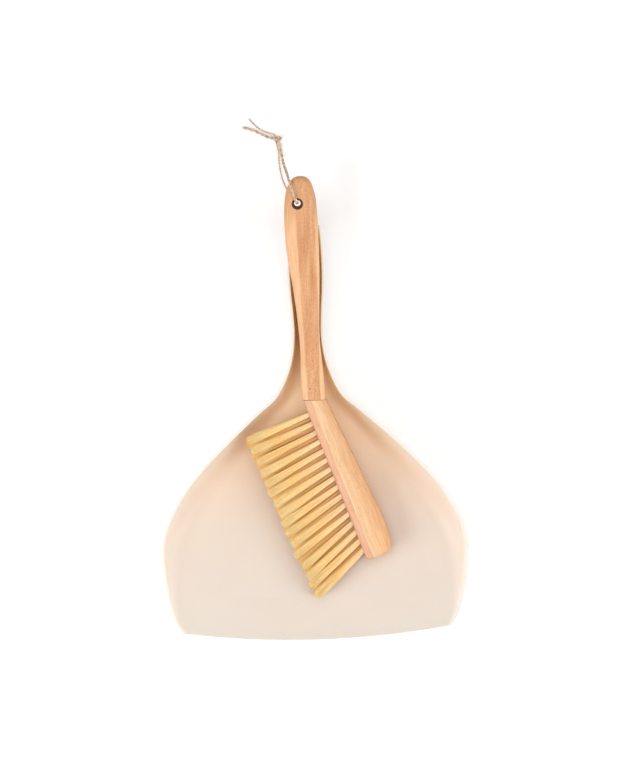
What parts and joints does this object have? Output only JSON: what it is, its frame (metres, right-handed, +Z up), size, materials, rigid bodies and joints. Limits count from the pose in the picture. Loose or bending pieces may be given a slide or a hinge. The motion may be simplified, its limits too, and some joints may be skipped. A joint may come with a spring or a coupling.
{
  "type": "dust pan and brush set",
  "caption": "Moulded dust pan with an open trough handle that holds a hand brush with a wooden handle, an angled head, bristle tufts and a twine loop.",
  "frame": {"origin": "centre of the set's outline, twine left out, on the floor it lies on", "axes": "+Z up off the floor; +Y from the lip of the pan towards the tip of the handles; +X to the right, seen from above with the lip nearest, so the bristles point to -X"},
  "size_m": [0.2434, 0.4184, 0.0525],
  "materials": {
    "pan_plastic": "satin cream moulded plastic with fine specks",
    "handle_wood": "laminated bamboo-like wood, sanded and oiled",
    "head_wood": "fine-grained light wood, sanded and oiled",
    "dowel_wood": "plain wood",
    "bristles": "straw-coloured bristle fibre",
    "twine": "two-ply natural twine"
  },
  "bodies": {
    "pan": {"dustpan": "pan_plastic"},
    "brush": {"brush_handle": "handle_wood", "brush_head": "head_wood", "joint_dowel_left": "dowel_wood", "joint_dowel_right": "dowel_wood", "tuft_a01": "bristles", "tuft_a02": "bristles", "tuft_a03": "bristles", "tuft_a04": "bristles", "tuft_a05": "bristles", "tuft_a06": "bristles", "tuft_a07": "bristles", "tuft_a08": "bristles", "tuft_a09": "bristles", "tuft_a10": "bristles", "tuft_a11": "bristles", "tuft_a12": "bristles", "tuft_a13": "bristles", "tuft_a14": "bristles", "tuft_a15": "bristles", "tuft_a16": "bristles", "tuft_b01": "bristles", "tuft_b02": "bristles", "tuft_b03": "bristles", "tuft_b04": "bristles", "tuft_b05": "bristles", "tuft_b06": "bristles", "tuft_b07": "bristles", "tuft_b08": "bristles", "tuft_b09": "bristles", "tuft_b10": "bristles", "tuft_b11": "bristles", "tuft_b12": "bristles", "tuft_b13": "bristles", "tuft_b14": "bristles", "tuft_b15": "bristles", "tuft_c01": "bristles", "tuft_c02": "bristles", "tuft_c03": "bristles", "tuft_c04": "bristles", "tuft_c05": "bristles", "tuft_c06": "bristles", "tuft_c07": "bristles", "tuft_c08": "bristles", "tuft_c09": "bristles", "tuft_c10": "bristles", "tuft_c11": "bristles", "tuft_c12": "bristles", "tuft_c13": "bristles", "tuft_c14": "bristles", "tuft_c15": "bristles", "tuft_c16": "bristles", "twine_front": "twine", "twine_back": "twine", "twine_knot": "twine", "twine_tail_long": "twine", "twine_tail_short": "twine"}
  },
  "joints": [
    {"name": "brush_lift", "type": "slide", "parent": "pan", "child": "brush", "axis": [0, 0, 1], "range_m": [0, 0.11]}
  ]
}
